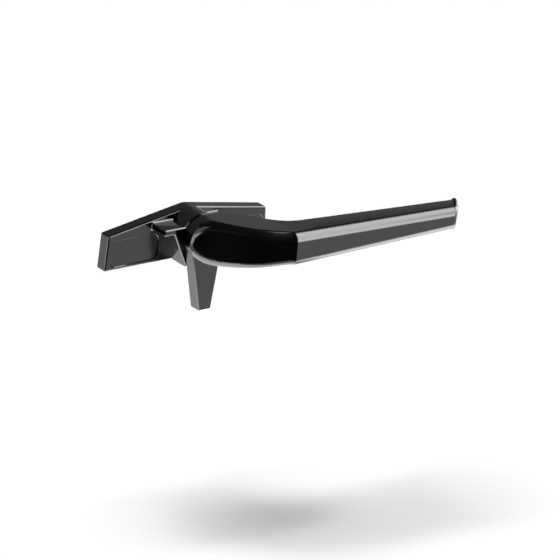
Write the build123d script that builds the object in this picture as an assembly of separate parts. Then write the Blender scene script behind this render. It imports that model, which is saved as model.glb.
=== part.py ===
# Cam handle for an awning or casement window: a die-cast base and a cast lever with its locking tongue.
# Millimetres. +X runs along the base towards the grip, -Y comes out of the sash, +Z is up.
# The origin is on the spindle's axis, in the plane of the mounting face.
# Names that end in out are distances from that face towards the user.
import os
from math import acos, atan2, cos, hypot, radians, sin, tan

from build123d import *

# Base plate
plate_length = 77.0
plate_thickness = 4.9
plate_drop = 11.75  # from the spindle's axis down to the lower edge
plate_end_rise = 2.9  # from the axis up to the top corner of each end
plate_end_lean = 0.9  # how far that corner stands in from the end's foot
plate_corner_radius = 0.8
plate_edge_radius = 0.7

# Boss, ledge and web cast on the plate
boss_radius = 9.2
boss_out = 13.9  # front of the boss, the ledge and the web
ledge_top = 5.0
ledge_height = 2.4
ledge_left = 17.6
ledge_right = 13.2
web_left = 12.8
web_foot_half = 6.4
boss_rim_inset = 0.3
boss_rim_length = 0.7
web_edge_chamfer = 0.4  # front edges of ledge and web
ledge_corner_radius = 0.6
ledge_root_radius = 0.8

# Fixing holes and their snap-in covers
hole_inset = 13.5  # from each end of the plate to its hole
hole_radius = 2.25
hole_below_axis = 5.0
countersink_radius = 4.3
pocket_length = 22.4
pocket_height = 10.6
pocket_radius = 2.8
pocket_depth = 2.0
pocket_edge_chamfer = 0.2
cover_gap = 0.08
cover_sunk = 0.45  # the cover's face lies this far under the plate's face
cover_wall = 0.8

# Spindle, bush and the parts that hold the spindle in at the back
spindle_radius = 4.0
spindle_back_out = 0.8
spindle_flats = 6.2
square_side = 5.6
square_length = 5.8
running_clearance = 0.05
face_clearance = 0.1  # between flat faces that turn on each other
seat_clearance = 0.02
bush_wall = 1.0
bush_flange_radius = 7.4
bush_flange_thickness = 1.2
bush_flange_proud = 0.25
rear_pocket_radius = 6.7
rear_pocket_depth = 4.6
spring_radius = 6.4
spring_thickness = 0.6
stop_washer_radius = 6.3
stop_washer_thickness = 1.2
stop_lug_radius = 8.6
stop_lug_angle = 24.0
stop_pocket_radius = 8.9
stop_margin_angle = 1.0
clip_radius = 5.6
clip_thickness = 0.8
clip_mouth_angle = 70.0
groove_radius = 2.9
lever_swing = 90.0

# Lever casting: hub over the spindle, sloping neck, straight grip
hub_radius = 9.25
hub_end_reach = 8.75  # from the axis to the end of the hub
neck_back_start = 12.6  # where the flat back of the hub ends and the neck slopes away
neck_back_angle = 40.0
crease_reach = 25.0
crease_half_height = 6.9
elbow_reach = 36.0  # the back of the neck has bent into the back of the grip here
elbow_back_out = 29.15
grip_front_out = 42.7
tip_reach = 109.7
tip_half_height = 4.65
tip_back_out = 33.4
tip_slant = 5.0  # the front of the end stands back from its back by this much
tip_round = 2.5
tip_lip = 1.4  # the back corners flare out at the very end
front_edge_radius = 3.25
tip_edge_radius = 1.0
back_edge_chamfer = 0.8
hub_rim_chamfer = 0.3
# Sections through hub and neck, from the back of the hub to the crease. Each gives the place of the front
# face as a share of the way from the hub's end to the crease, along and then out, the share of the way up the
# neck's back, and how round its front edges are, from 0 for the grip's own radius to 1 for the full hub.
neck_sections = [
    (0.0, 0.0, 0.0, 0.99),
    (0.0, 0.135, 0.08, 0.99),
    (0.007, 0.177, 0.125, 0.92),
    (0.028, 0.211, 0.17, 0.8),
    (0.09, 0.279, 0.24, 0.42),
    (0.235, 0.438, 0.4, 0.06),
    (0.517, 0.745, 0.7, 0.0),
    (0.74, 0.882, 0.85, 0.0),
    (1.0, 1.0, 1.0, 0.0),
]

# Tongue cast under the hub
tongue_thickness = 5.1
tongue_reach = 29.0
tongue_left = 8.5  # to each side of the axis, at the height of the axis
tongue_right = 6.9
tongue_tip_left = 2.6  # the same at the tip
tongue_tip_right = 3.15
tongue_root_drop = 3.5
tongue_corner_radius = 0.8
tongue_edge_chamfer = 0.4

hole_spacing = plate_length - 2 * hole_inset
cover_back_out = plate_thickness - pocket_depth
flange_out = boss_out + bush_flange_proud
hub_back_out = flange_out + face_clearance
bush_radius = spindle_radius + running_clearance + bush_wall
clip_back_out = spindle_back_out + clip_thickness
washer_back_out = clip_back_out + clip_thickness + seat_clearance
washer_front_out = washer_back_out + stop_washer_thickness
grip_back_slope = (tip_back_out - elbow_back_out) / (tip_reach - elbow_reach)


def slab(sketch, start, end):
    return extrude(Plane.XZ.offset(start) * sketch, amount=end - start)


def flared(back, start, front, end):
    return loft([Plane.XZ.offset(start) * back, Plane.XZ.offset(end) * front])


def sector(radius, start, swing):
    arc = CenterArc((0, 0), radius, start, swing)
    return make_face([Line((0, 0), arc @ 0), arc, Line(arc @ 1, (0, 0))])


def plate_outline():
    half = plate_length / 2
    top_half = half - plate_end_lean
    ends = [Line((side * half, -plate_drop), (side * top_half, plate_end_rise)) for side in (-1, 1)]
    outline = make_hull([*ends, CenterArc((0, 0), boss_radius, 0, 360)])
    corners = outline.vertices().filter_by(lambda v: abs(v.X) > boss_radius)
    return fillet(corners, plate_corner_radius)


def web_outline():
    ledge_bottom = ledge_top - ledge_height
    ledge = Polygon(
        (-ledge_left, ledge_bottom), (ledge_right, ledge_bottom), (ledge_right, ledge_top),
        (-ledge_left, ledge_top), align=None)
    web = Polygon(
        (-web_left, ledge_bottom), (-web_foot_half, -plate_drop), (web_foot_half, -plate_drop),
        (ledge_right, ledge_bottom), align=None)
    outline = ledge + web
    return fillet(outline.vertices().group_by(Axis.X)[0], ledge_corner_radius)


def in_plate_face(edge):
    return all(abs((edge @ share).Y + plate_thickness) < 0.001 for share in (0, 0.5, 1))


def ledge_root(base):
    # the edges round the two ends of the ledge, where it rises from the plate
    def at_ledge(edge):
        middle = edge.center()
        if not boss_radius < abs(middle.X) < ledge_left + 0.001:
            return False
        return ledge_top - ledge_height - 0.001 < middle.Z < ledge_top + 0.001

    return base.edges().filter_by(in_plate_face).filter_by(at_ledge)


def rear_pocket():
    half = stop_lug_angle / 2 + stop_margin_angle
    # the stop lug points down when the lever is closed, and swings up towards +X
    swept = sector(stop_pocket_radius, -90 - half, lever_swing + 2 * half)
    round_pocket = slab(Circle(rear_pocket_radius), 0, rear_pocket_depth)
    return round_pocket + slab(swept, 0, washer_front_out + face_clearance)


def cover_place(side):
    return Pos(side * hole_spacing / 2, -hole_below_axis)


def pocket_outline(side, margin=0.0):
    outline = RectangleRounded(pocket_length + 2 * margin, pocket_height + 2 * margin, pocket_radius + margin)
    return cover_place(side) * outline


def make_boss():
    rim_start = boss_out - boss_rim_length
    rim = flared(Circle(boss_radius), rim_start, Circle(boss_radius - boss_rim_inset), boss_out)
    return slab(Circle(boss_radius), 0, rim_start) + rim


def make_base_plate():
    plate = slab(plate_outline(), 0, plate_thickness)
    plate = fillet(plate.faces().sort_by(Axis.Y)[0].edges(), plate_edge_radius)
    web = slab(web_outline(), 0, boss_out)
    web = chamfer(web.faces().sort_by(Axis.Y)[0].edges(), web_edge_chamfer)
    base = plate + web + make_boss()
    base = fillet(ledge_root(base), ledge_root_radius)
    base -= slab(Circle(bush_radius + seat_clearance), 0, boss_out)
    base -= slab(Circle(bush_flange_radius + seat_clearance), flange_out - bush_flange_thickness, boss_out)
    base -= rear_pocket()
    for side in (-1, 1):
        pocket = pocket_outline(side)
        base -= slab(pocket, cover_back_out, plate_thickness)
        rim_start = plate_thickness - pocket_edge_chamfer
        base -= flared(pocket, rim_start, pocket_outline(side, pocket_edge_chamfer), plate_thickness)
        hole = cover_place(side) * Circle(hole_radius)
        base -= slab(hole, 0, plate_thickness)
        sink_start = cover_back_out - (countersink_radius - hole_radius)
        base -= flared(hole, sink_start, cover_place(side) * Circle(countersink_radius), cover_back_out)
    return base


def make_screw_cover(side):
    front_out = plate_thickness - cover_sunk
    cap = slab(pocket_outline(side, -cover_gap), cover_back_out, front_out)
    hollow = pocket_outline(side, -cover_gap - cover_wall)
    return cap - slab(hollow, cover_back_out, front_out - cover_wall)


def make_bush():
    bore = Circle(spindle_radius + running_clearance)
    sleeve = slab(Circle(bush_radius), rear_pocket_depth, flange_out)
    flange = slab(Circle(bush_flange_radius), flange_out - bush_flange_thickness, flange_out)
    return sleeve + flange - slab(bore, rear_pocket_depth, flange_out)


def make_spring_washer():
    # a coned disc spring between the floor of the rear pocket and the stop washer
    inner = spindle_radius + running_clearance
    inner_back = -washer_front_out - face_clearance
    profile = Polygon(
        (inner, inner_back), (inner, inner_back - spring_thickness), (spring_radius, -rear_pocket_depth),
        (spring_radius, spring_thickness - rear_pocket_depth), align=None)
    return revolve(profile, Axis.Y)


def flatted(radius, flats):
    return Circle(radius) & Rectangle(2 * radius, flats)


def make_stop_washer():
    hole = flatted(spindle_radius + seat_clearance, spindle_flats + 2 * seat_clearance)
    lug = sector(stop_lug_radius, -90 - stop_lug_angle / 2, stop_lug_angle)
    return slab(Circle(stop_washer_radius) + lug - hole, washer_back_out, washer_front_out)


def make_clip():
    ring = Circle(clip_radius) - Circle(groove_radius + seat_clearance)
    mouth = sector(clip_radius * 2, 90 - clip_mouth_angle / 2, clip_mouth_angle)
    return slab(ring - mouth, clip_back_out, clip_back_out + clip_thickness)


def make_spindle():
    shaft = slab(Circle(spindle_radius), washer_front_out, hub_back_out)
    tail = slab(flatted(spindle_radius, spindle_flats), spindle_back_out, washer_front_out)
    groove = slab(Circle(spindle_radius) - Circle(groove_radius), clip_back_out - seat_clearance,
                  clip_back_out + clip_thickness + seat_clearance)
    square = slab(Rectangle(square_side, square_side), hub_back_out, hub_back_out + square_length)
    return shaft + (tail - groove) + square


def half_height(along):
    if along > crease_reach:
        way = (along - crease_reach) / (tip_reach - crease_reach)
        return crease_half_height + way * (tip_half_height - crease_half_height)
    # the sides of the neck are tangents from the crease to the hub
    to_corner = hypot(crease_reach, crease_half_height)
    tangent_angle = atan2(crease_half_height, crease_reach) + acos(hub_radius / to_corner)
    return crease_half_height + (crease_reach - along) / tan(tangent_angle)


def section(front, back, front_radius, inset=0.0, flare=0.0):
    # upright section between a point on the lever's front and one on its back, each given as (along, out)
    reach = hypot(front[0] - back[0], front[1] - back[1])
    front_half = half_height(front[0]) - inset
    back_half = half_height(back[0]) - inset + flare
    outline = Polygon((0, -back_half), (reach, -front_half), (reach, front_half), (0, back_half), align=None)
    outline = fillet(outline.vertices().group_by(Axis.X)[-1], front_radius)
    outline = chamfer(outline.vertices().group_by(Axis.X)[0], back_edge_chamfer)
    forward = Vector(front[0] - back[0], back[1] - front[1], 0)
    plane = Plane(origin=(back[0], -back[1], 0), x_dir=forward, z_dir=forward.cross(Vector(0, 0, 1)))
    return plane * outline


def neck_rings():
    neck_back_rise = (crease_reach - neck_back_start) * tan(radians(neck_back_angle))
    rings = []
    for along, out, up_back, roundness in neck_sections:
        front_along = along * (crease_reach + hub_end_reach) - hub_end_reach
        front_out = hub_back_out + out * (grip_front_out - hub_back_out)
        back_along = neck_back_start + up_back * (crease_reach - neck_back_start)
        back_out = hub_back_out + up_back * neck_back_rise
        front_radius = front_edge_radius + roundness * (hub_radius - front_edge_radius)
        rings.append(section((front_along, front_out), (back_along, back_out), front_radius))
    return rings


def elbow_rings():
    neck_slope = tan(radians(neck_back_angle))
    crease_back_out = hub_back_out + (crease_reach - neck_back_start) * neck_slope
    curve = Spline((crease_reach, crease_back_out), (elbow_reach, elbow_back_out),
                   tangents=[(1, neck_slope), (1, grip_back_slope)])
    points = [curve @ (step / 4) for step in range(5)]
    return [section((point.X, grip_front_out), (point.X, point.Y), front_edge_radius) for point in points]


def tip_rings():
    rings = []
    for angle in (0, 15, 35, 55, 70, 80, 86):
        turn = radians(angle)
        fall = 1 - cos(turn)
        inset = tip_round * fall
        back_along = tip_reach - tip_round * (1 - sin(turn))
        back_out = tip_back_out - (tip_reach - back_along) * grip_back_slope + inset
        front = (back_along - tip_slant, grip_front_out - inset)
        front_radius = front_edge_radius + fall * (tip_edge_radius - front_edge_radius)
        flare = tip_lip * sin(2 * turn)
        rings.append(section(front, (back_along, back_out), front_radius, inset, flare))
    return rings


def make_tongue():
    right_slope = (tongue_right - tongue_tip_right) / tongue_reach
    left_slope = (tongue_left - tongue_tip_left) / tongue_reach
    root_left = tongue_left - left_slope * tongue_root_drop
    root_right = tongue_right - right_slope * tongue_root_drop
    outline = Polygon(
        (-root_left, -tongue_root_drop), (-tongue_tip_left, -tongue_reach), (tongue_tip_right, -tongue_reach),
        (root_right, -tongue_root_drop), align=None)
    outline = fillet(outline.vertices().group_by(Axis.Y)[0], tongue_corner_radius)
    tongue = slab(outline, hub_back_out, hub_back_out + tongue_thickness)
    return chamfer(tongue.faces().sort_by(Axis.Y)[0].edges(), tongue_edge_chamfer)


def make_lever():
    elbow = elbow_rings()
    tip = tip_rings()
    # the hub's end has a straight wall and then a tight round, before the front slopes up to the crease
    neck = neck_rings()
    wall = loft(neck[:2], ruled=True)
    wall = chamfer(wall.faces().sort_by(Axis.Y)[-1].edges(), hub_rim_chamfer)
    hub = wall + loft(neck[1:4])
    grip = loft([elbow[-1], tip[0]], ruled=True)
    lever = hub + loft(neck[3:]) + loft(elbow) + grip + loft(tip) + make_tongue()
    side = square_side + 2 * seat_clearance
    socket = slab(Rectangle(side, side), hub_back_out, hub_back_out + square_length + seat_clearance)
    return lever - socket


def make_parts():
    return {
        "base_plate": make_base_plate(),
        "left_screw_cover": make_screw_cover(-1),
        "right_screw_cover": make_screw_cover(1),
        "pivot_bush": make_bush(),
        "spring_washer": make_spring_washer(),
        "stop_washer": make_stop_washer(),
        "retaining_clip": make_clip(),
        "spindle": make_spindle(),
        "lever": make_lever(),
    }


if __name__ == "__main__":
    os.makedirs("parts", exist_ok=True)
    for name, solid in make_parts().items():
        export_step(solid, f"parts/{name}.step")
        print(f"{name}: {solid.volume / 1000:.2f} cm3")
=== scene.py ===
import bpy
import math
from mathutils import Matrix, Vector

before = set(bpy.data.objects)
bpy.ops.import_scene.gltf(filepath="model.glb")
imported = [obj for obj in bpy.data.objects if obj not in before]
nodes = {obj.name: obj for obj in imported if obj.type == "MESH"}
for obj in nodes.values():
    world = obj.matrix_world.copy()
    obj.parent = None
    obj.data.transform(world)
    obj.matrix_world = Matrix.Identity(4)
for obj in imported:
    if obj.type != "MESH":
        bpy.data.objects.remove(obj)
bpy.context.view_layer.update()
print("frame loaded:", ", ".join(sorted(nodes)))


# a node with its named sockets set; an underscore stands for a space
def addNode(tree, kind, **sockets):
    node = tree.nodes.new(kind)
    for name, value in sockets.items():
        node.inputs[name.replace("_", " ")].default_value = value
    return node


def openGroup(name, inputs, outputs):
    group = bpy.data.node_groups.new(name, "ShaderNodeTree")
    sockets = group.interface
    for label, value in inputs.items():
        socket = sockets.new_socket(name=label, in_out="INPUT", socket_type="NodeSocketFloat")
        socket.default_value = value
    for label in outputs:
        sockets.new_socket(name=label, in_out="OUTPUT", socket_type="NodeSocketFloat")
    return group, group.nodes.new("NodeGroupInput"), group.nodes.new("NodeGroupOutput")


# slow clouds over the surface, between Low and High, for sheen and tone that drift a little
def makeCloudGroup():
    inputs = {"Scale": 60.0, "Low": 0.2, "High": 0.3}
    group, given, result = openGroup("surfaceClouds", inputs, ["Value"])
    place = addNode(group, "ShaderNodeTexCoord")
    noise = addNode(group, "ShaderNodeTexNoise", Detail=4.0, Roughness=0.6)
    spread = addNode(group, "ShaderNodeMapRange", From_Min=0.3, From_Max=0.7)
    group.links.new(place.outputs["Object"], noise.inputs["Vector"])
    group.links.new(given.outputs["Scale"], noise.inputs["Scale"])
    group.links.new(noise.outputs["Fac"], spread.inputs["Value"])
    group.links.new(given.outputs["Low"], spread.inputs["To Min"])
    group.links.new(given.outputs["High"], spread.inputs["To Max"])
    group.links.new(spread.outputs["Result"], result.inputs["Value"])
    return group


# the fine orange peel of a sprayed coat or a moulded skin: small grain mixed with larger cells
def makePeelGroup():
    cellsPerGrain = 0.35
    inputs = {"Scale": 900.0, "Coarse": 0.25}
    group, given, result = openGroup("finePeel", inputs, ["Height"])
    place = addNode(group, "ShaderNodeTexCoord")
    fine = addNode(group, "ShaderNodeTexNoise", Detail=2.0, Roughness=0.5)
    cells = addNode(group, "ShaderNodeTexVoronoi")
    cellScale = addNode(group, "ShaderNodeMath")
    cellScale.operation = "MULTIPLY"
    cellScale.inputs[1].default_value = cellsPerGrain
    mix = addNode(group, "ShaderNodeMix")
    group.links.new(place.outputs["Object"], fine.inputs["Vector"])
    group.links.new(place.outputs["Object"], cells.inputs["Vector"])
    group.links.new(given.outputs["Scale"], fine.inputs["Scale"])
    group.links.new(given.outputs["Scale"], cellScale.inputs[0])
    group.links.new(cellScale.outputs["Value"], cells.inputs["Scale"])
    group.links.new(given.outputs["Coarse"], mix.inputs["Factor"])
    group.links.new(fine.outputs["Fac"], mix.inputs["A"])
    group.links.new(cells.outputs["Distance"], mix.inputs["B"])
    group.links.new(mix.outputs["Result"], result.inputs["Height"])
    return group


cloudGroup = makeCloudGroup()
peelGroup = makePeelGroup()
print("shader groups ready")


def placeGroup(tree, group, **values):
    node = tree.nodes.new("ShaderNodeGroup")
    node.node_tree = group
    for label, value in values.items():
        node.inputs[label].default_value = value
    return node


peelDepth = 0.0002  # metres, the same for every finish


def makeFinish(name, look):
    material = bpy.data.materials.new(name)
    material.use_nodes = True
    tree = material.node_tree
    shader = tree.nodes["Principled BSDF"]
    shader.inputs["Metallic"].default_value = look["metallic"]
    shader.inputs["Specular IOR Level"].default_value = look["specular"]
    tone = placeGroup(tree, cloudGroup, Scale=look["toneScale"], Low=0.0, High=1.0)
    colour = tree.nodes.new("ShaderNodeMix")
    colour.data_type = "RGBA"
    colour.inputs["A"].default_value = (*look["dark"], 1)
    colour.inputs["B"].default_value = (*look["light"], 1)
    tree.links.new(tone.outputs["Value"], colour.inputs["Factor"])
    tree.links.new(colour.outputs["Result"], shader.inputs["Base Color"])
    low, high = look["roughness"]
    sheen = placeGroup(tree, cloudGroup, Scale=look["sheenScale"], Low=low, High=high)
    tree.links.new(sheen.outputs["Value"], shader.inputs["Roughness"])
    peel = placeGroup(tree, peelGroup, Scale=look["peelScale"], Coarse=look["peelCoarse"])
    bump = addNode(tree, "ShaderNodeBump", Strength=look["peelStrength"], Distance=peelDepth)
    tree.links.new(peel.outputs["Height"], bump.inputs["Height"])
    tree.links.new(bump.outputs["Normal"], shader.inputs["Normal"])
    return material


# lever and base: sprayed and stoved, dark and glossy
blackCoat = {
    "metallic": 0.0, "specular": 0.7, "roughness": (0.12, 0.16), "sheenScale": 140.0,
    "dark": (0.0012, 0.0012, 0.0013), "light": (0.002, 0.002, 0.0022), "toneScale": 45.0,
    "peelScale": 1500.0, "peelCoarse": 0.2, "peelStrength": 0.01,
}
# screw covers: moulded, a little less glossy
satinCover = {
    "metallic": 0.0, "specular": 0.64, "roughness": (0.15, 0.19), "sheenScale": 200.0,
    "dark": (0.0014, 0.0014, 0.0015), "light": (0.0024, 0.0024, 0.0026), "toneScale": 60.0,
    "peelScale": 2600.0, "peelCoarse": 0.4, "peelStrength": 0.03,
}
zincPlate = {
    "metallic": 1.0, "specular": 0.5, "roughness": (0.28, 0.42), "sheenScale": 260.0,
    "dark": (0.46, 0.46, 0.45), "light": (0.6, 0.6, 0.59), "toneScale": 120.0,
    "peelScale": 3200.0, "peelCoarse": 0.3, "peelStrength": 0.05,
}
oiledSteel = {
    "metallic": 1.0, "specular": 0.5, "roughness": (0.24, 0.4), "sheenScale": 200.0,
    "dark": (0.22, 0.215, 0.21), "light": (0.34, 0.34, 0.345), "toneScale": 90.0,
    "peelScale": 3000.0, "peelCoarse": 0.2, "peelStrength": 0.04,
}
naturalAcetal = {
    "metallic": 0.0, "specular": 0.5, "roughness": (0.38, 0.48), "sheenScale": 240.0,
    "dark": (0.64, 0.63, 0.6), "light": (0.72, 0.71, 0.68), "toneScale": 80.0,
    "peelScale": 2400.0, "peelCoarse": 0.5, "peelStrength": 0.05,
}

finishOf = {
    "base_plate": makeFinish("blackCoatBase", blackCoat),
    "lever": makeFinish("blackCoatLever", blackCoat),
    "left_screw_cover": makeFinish("satinCoverLeft", satinCover),
    "right_screw_cover": makeFinish("satinCoverRight", satinCover),
    "spindle": makeFinish("zincPlateSpindle", zincPlate),
    "stop_washer": makeFinish("zincPlateWasher", zincPlate),
    "retaining_clip": makeFinish("oiledSteelClip", oiledSteel),
    "spring_washer": makeFinish("oiledSteelSpring", oiledSteel),
    "pivot_bush": makeFinish("naturalAcetalBush", naturalAcetal),
}
for name, material in finishOf.items():
    nodes[name].data.materials.clear()
    nodes[name].data.materials.append(material)
print("finishes set on", len(finishOf), "pieces")

studio = {"floorBelow": 0.1225, "floorSize": 8.0, "floorTone": 0.95, "fillTone": 0.02}


# a matt stage sheet, not part of the object
def makeSheet(name, corners, panels, colour, glow=0.0):
    mesh = bpy.data.meshes.new(name)
    mesh.from_pydata(corners, [], panels)
    sheet = bpy.data.objects.new(name, mesh)
    bpy.context.collection.objects.link(sheet)
    cloth = bpy.data.materials.new(name + "Cloth")
    cloth.use_nodes = True
    shader = cloth.node_tree.nodes["Principled BSDF"]
    shader.inputs["Base Color"].default_value = (colour, colour, colour, 1)
    shader.inputs["Roughness"].default_value = 1.0
    shader.inputs["Specular IOR Level"].default_value = 0.0
    shader.inputs["Emission Color"].default_value = (1, 1, 1, 1)
    shader.inputs["Emission Strength"].default_value = glow
    mesh.materials.append(cloth)
    return sheet


# seen in reflections alone, with no shadow of its own
def onlyInGloss(item):
    item.visible_camera = False
    item.visible_diffuse = False
    item.visible_shadow = False
    item.visible_transmission = False


def makeFloor():
    half = studio["floorSize"] / 2
    level = -studio["floorBelow"]
    flat = [(-half, -half), (half, -half), (half, half), (-half, half)]
    corners = [(x, y, level) for x, y in flat]
    makeSheet("floor", corners, [(0, 1, 2, 3)], studio["floorTone"])


# white for the camera and for gloss, a little fill for the rest
def makeSky():
    world = bpy.data.worlds.new("studioSky")
    bpy.context.scene.world = world
    world.use_nodes = True
    tree = world.node_tree
    path = tree.nodes.new("ShaderNodeLightPath")
    seen = path.outputs["Is Camera Ray"]
    for kind in ("Is Glossy Ray", "Is Transmission Ray"):
        either = tree.nodes.new("ShaderNodeMath")
        either.operation = "MAXIMUM"
        tree.links.new(seen, either.inputs[0])
        tree.links.new(path.outputs[kind], either.inputs[1])
        seen = either.outputs["Value"]
    shown = tree.nodes.new("ShaderNodeMix")
    shown.data_type = "RGBA"
    shown.inputs["A"].default_value = (*[studio["fillTone"]] * 3, 1)
    shown.inputs["B"].default_value = (1, 1, 1, 1)
    tree.links.new(seen, shown.inputs["Factor"])
    tree.links.new(shown.outputs["Result"], tree.nodes["Background"].inputs["Color"])


makeFloor()
makeSky()

# a soft sun for light and shadow; dark tent, dark cloth and soft boxes for what the gloss shows
sun = {"strength": 3.36, "angle": 27.0, "from": (-0.19, 0.065, 1.0)}
tent = {"radius": 2.5, "foot": 0.1, "sides": 24, "glow": 0.03}
frontCloth = {  # lies on the floor before the object, out towards the camera
    "from": (0.035, -0.025), "towards": (-0.42, -0.91), "start": 0.2, "depth": 2.4,
    "left": 1.8, "nearRight": 0.2, "farRight": 1.3, "aboveFloor": 0.001,
}
softBoxes = {  # middle, target, width, height, brightness
    # to the right: the grip's bright band and the lines along the base's edges
    "sideBox": ((0.75, -0.925, 0.8725), (0.1, -0.925, 0.8725), 1.95, 0.905, 7.5),
    "sideLowBox": ((0.75, -1.34, 0.1475), (0.1, -1.34, 0.1475), 1.12, 0.545, 7.5),
    "sideTipBox": ((0.75, -0.175, 0.2), (0.1, -0.175, 0.2), 0.65, 0.44, 7.5),
    "sideFadeBox": ((0.75, 0.135, 0.86), (0.1, 0.135, 0.86), 0.17, 0.93, 4.5),
    "sideEndBox": ((0.75, 0.32, 0.86), (0.1, 0.32, 0.86), 0.2, 0.93, 1.6),
    "sideFloorBox": ((0.535, -0.76, -0.119), (0.535, -0.76, 0.0), 0.43, 0.68, 6.5),
    "highSideBox": ((0.75, -1.2, 1.8), (0.1, -1.2, 1.8), 1.4, 0.95, 7.5),
    # behind: the grey tops of grip, neck and base
    "gripBackBox": ((0.25, 0.04, -0.0298), (0.25, -1.0, -0.0298), 0.3, 0.141, 0.35),
    "neckBackBox": ((0.0675, 0.04, -0.022), (0.0675, -1.0, -0.022), 0.065, 0.156, 0.22),
    "leftBackBox": ((-0.1325, 0.04, -0.0125), (-0.1325, -1.0, -0.0125), 0.335, 0.175, 0.12),
    # below: the pale lower edges and the undersides
    "underFrontBox": ((0.24, -0.10, -0.119), (0.24, -0.10, 0.0), 0.24, 0.12, 5.0),
    "underBackBox": ((0.20, 0.10, -0.119), (0.20, 0.10, 0.0), 0.3, 0.28, 1.2),
    "neckBox": ((-0.01, -0.04, -0.119), (-0.01, -0.04, 0.0), 0.22, 0.18, 4.0),
    "tongueBox": ((-0.09, 0.14, -0.119), (-0.09, 0.14, 0.0), 0.1, 0.12, 0.7),
    # to the left: the base's end, the tongue's side and the hub's rim
    "leftBox": ((-0.32, -0.02, 0.0), (0.0, -0.02, 0.0), 0.24, 0.238, 4.0),
    "highLeftBox": ((-0.32, 0.03, 0.3), (0.0, 0.03, 0.3), 0.24, 0.36, 1.0),
    "bevelBox": ((-0.41, -0.32, 0.27), (0.0, 0.0, 0.0), 0.25, 0.12, 0.13),
}


def turnTowards(item, place, target):
    turn = (target - place).normalized().to_track_quat("-Z", "Y")
    item.matrix_world = Matrix.Translation(place) @ turn.to_matrix().to_4x4()


def makeSun():
    lamp = bpy.data.lights.new("softSun", "SUN")
    lamp.energy = sun["strength"]
    lamp.angle = math.radians(sun["angle"])
    item = bpy.data.objects.new("softSun", lamp)
    bpy.context.collection.objects.link(item)
    turnTowards(item, Vector(sun["from"]), Vector((0, 0, 0)))
    item.visible_glossy = False


def makeTent():
    sides, radius = tent["sides"], tent["radius"]
    corners = [(0, 0, radius)]
    for index in range(sides):
        turn = 2 * math.pi * index / sides
        corners.append((radius * math.cos(turn), radius * math.sin(turn), -tent["foot"]))
    panels = [(1 + index, 1 + (index + 1) % sides, 0) for index in range(sides)]
    onlyInGloss(makeSheet("tent", corners, panels, 0.0, tent["glow"]))


def makeFrontCloth():
    ahead = Vector((*frontCloth["towards"], 0)).normalized()
    across = Vector((-ahead.y, ahead.x, 0))
    left = across * frontCloth["left"]
    nearRight = across * frontCloth["nearRight"]
    farRight = across * frontCloth["farRight"]
    level = frontCloth["aboveFloor"] - studio["floorBelow"]
    near = Vector((*frontCloth["from"], level)) + ahead * frontCloth["start"]
    far = near + ahead * frontCloth["depth"]
    corners = [near - left, near + nearRight, far + farRight, far - left]
    onlyInGloss(makeSheet("frontCloth", corners, [(0, 1, 2, 3)], 0.0))


# shows in gloss and lights no matt surface
def makeSoftBox(name, place, target, width, height, brightness):
    lamp = bpy.data.lights.new(name, "AREA")
    lamp.shape = "RECTANGLE"
    lamp.size = width
    lamp.size_y = height
    lamp.energy = brightness * math.pi * width * height
    item = bpy.data.objects.new(name, lamp)
    bpy.context.collection.objects.link(item)
    turnTowards(item, Vector(place), Vector(target))
    item.visible_camera = False
    item.visible_diffuse = False


makeSun()
makeTent()
makeFrontCloth()
for name, box in softBoxes.items():
    makeSoftBox(name, *box)
print("studio set up")

view = {
    "azimuth": -38.144, "elevation": 21.903, "roll": 4.864,  # degrees
    "focalPixels": 5000.0, "pixelsPerMm": 2.574, "originPixel": (180.123, 223.646), "imageSize": 560,
    "sensorWidth": 36.0, "farClip": 50.0,
}


def makeCamera():
    turn, lift, roll = (math.radians(view[key]) for key in ("azimuth", "elevation", "roll"))
    level = Vector((math.cos(turn), math.sin(turn), 0))
    outwards = Vector((math.sin(turn), -math.cos(turn), 0))
    back = outwards * math.cos(lift) + Vector((0, 0, math.sin(lift)))
    upright = back.cross(level)
    right = math.cos(roll) * level + math.sin(roll) * upright
    up = -math.sin(roll) * level + math.cos(roll) * upright
    distance = view["focalPixels"] / view["pixelsPerMm"] / 1000
    middle = (view["imageSize"] - 1) / 2
    aside = (view["originPixel"][0] - middle) / view["focalPixels"] * distance
    above = (middle - view["originPixel"][1]) / view["focalPixels"] * distance
    place = back * distance - right * aside - up * above
    data = bpy.data.cameras.new("photoCamera")
    data.sensor_width = view["sensorWidth"]
    data.lens = view["focalPixels"] * data.sensor_width / view["imageSize"]
    data.clip_end = view["farClip"]
    camera = bpy.data.objects.new("photoCamera", data)
    bpy.context.collection.objects.link(camera)
    axes = Matrix((right, up, back)).transposed().to_4x4()
    camera.matrix_world = Matrix.Translation(place) @ axes
    bpy.context.scene.camera = camera


makeCamera()
bpy.context.scene.view_settings.view_transform = "Standard"

print("scene ready")
